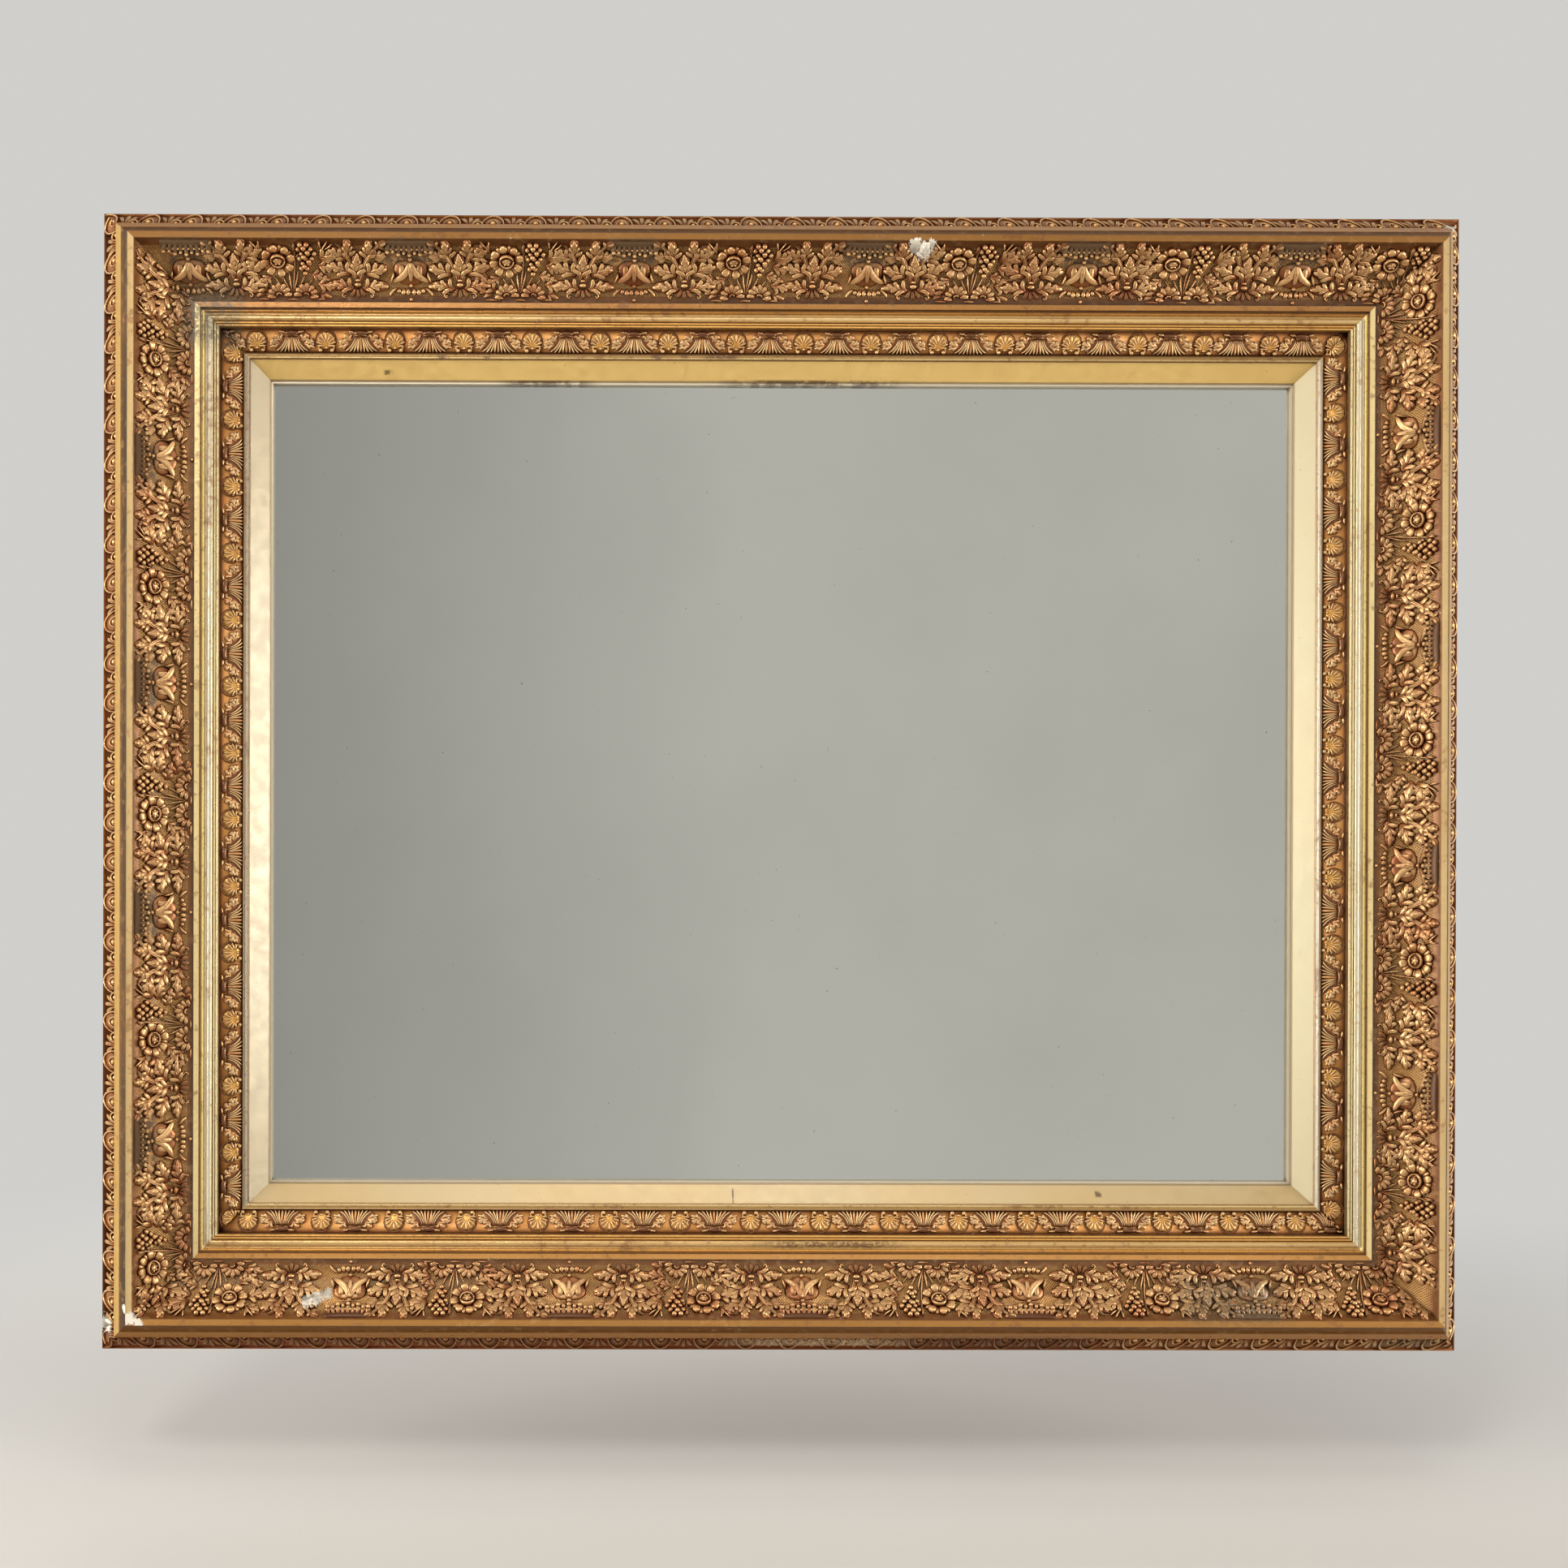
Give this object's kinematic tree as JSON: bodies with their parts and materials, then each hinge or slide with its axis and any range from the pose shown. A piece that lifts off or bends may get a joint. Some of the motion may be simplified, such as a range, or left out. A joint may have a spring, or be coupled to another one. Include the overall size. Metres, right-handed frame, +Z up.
{
  "type": "carved giltwood mirror",
  "caption": "Rectangular wall mirror in a deep gilded frame with applied flower, leaf and shell ornament, hung by swinging rings at the back.",
  "frame": {"origin": "centre of the flat back, on the wall plane", "axes": "+X along the width, to the right seen from the front; +Z up; the front faces -Y and the back +Y"},
  "size_m": [1.3, 0.115, 1.088],
  "materials": {
    "gilt_wood": "water gilding over red-brown bole, rubbed on the edges",
    "gilt_ornament": "gilded composition ornament with dark hollows",
    "slip_gilding": "smooth burnished pale gilding",
    "silvered_glass": "silvered plate glass",
    "raw_pine": "planed softwood, darkened with age",
    "back_boards": "rough softwood boards, darkened with age",
    "iron": "dark iron",
    "hanger_brass": "dull brass"
  },
  "bodies": {
    "frame": {"back_rail_top": "raw_pine", "cove_rail_top": "gilt_wood", "inner_moulding_top": "gilt_wood", "sight_slip_top": "slip_gilding", "leaf_edge_top": "gilt_ornament", "shell_frieze_top": "gilt_ornament", "cove_ornament_top": "gilt_ornament", "back_rail_right": "raw_pine", "cove_rail_right": "gilt_wood", "inner_moulding_right": "gilt_wood", "sight_slip_right": "slip_gilding", "leaf_edge_right": "gilt_ornament", "shell_frieze_right": "gilt_ornament", "cove_ornament_right": "gilt_ornament", "back_rail_bottom": "raw_pine", "cove_rail_bottom": "gilt_wood", "inner_moulding_bottom": "gilt_wood", "sight_slip_bottom": "slip_gilding", "leaf_edge_bottom": "gilt_ornament", "shell_frieze_bottom": "gilt_ornament", "cove_ornament_bottom": "gilt_ornament", "back_rail_left": "raw_pine", "cove_rail_left": "gilt_wood", "inner_moulding_left": "gilt_wood", "sight_slip_left": "slip_gilding", "leaf_edge_left": "gilt_ornament", "shell_frieze_left": "gilt_ornament", "cove_ornament_left": "gilt_ornament", "mirror_glass": "silvered_glass", "glass_blocks": "raw_pine", "backboard_1": "back_boards", "backboard_2": "back_boards", "backboard_3": "back_boards", "backboard_4": "back_boards", "backboard_5": "back_boards", "lap_screws": "iron", "board_nails": "iron", "hanger_screws": "iron", "hanger_strap_left": "hanger_brass", "hanger_strap_right": "hanger_brass"},
    "ring_left": {"hanger_ring_left": "hanger_brass"},
    "ring_right": {"hanger_ring_right": "hanger_brass"}
  },
  "joints": [
    {"name": "ring_left_swing", "type": "hinge", "parent": "frame", "child": "ring_left", "pos_m": [-0.48, 0.00405, 0.484], "axis": [1, 0, 0], "range_deg": [0, 180]},
    {"name": "ring_right_swing", "type": "hinge", "parent": "frame", "child": "ring_right", "pos_m": [0.48, 0.00405, 0.484], "axis": [1, 0, 0], "range_deg": [0, 180]}
  ]
}
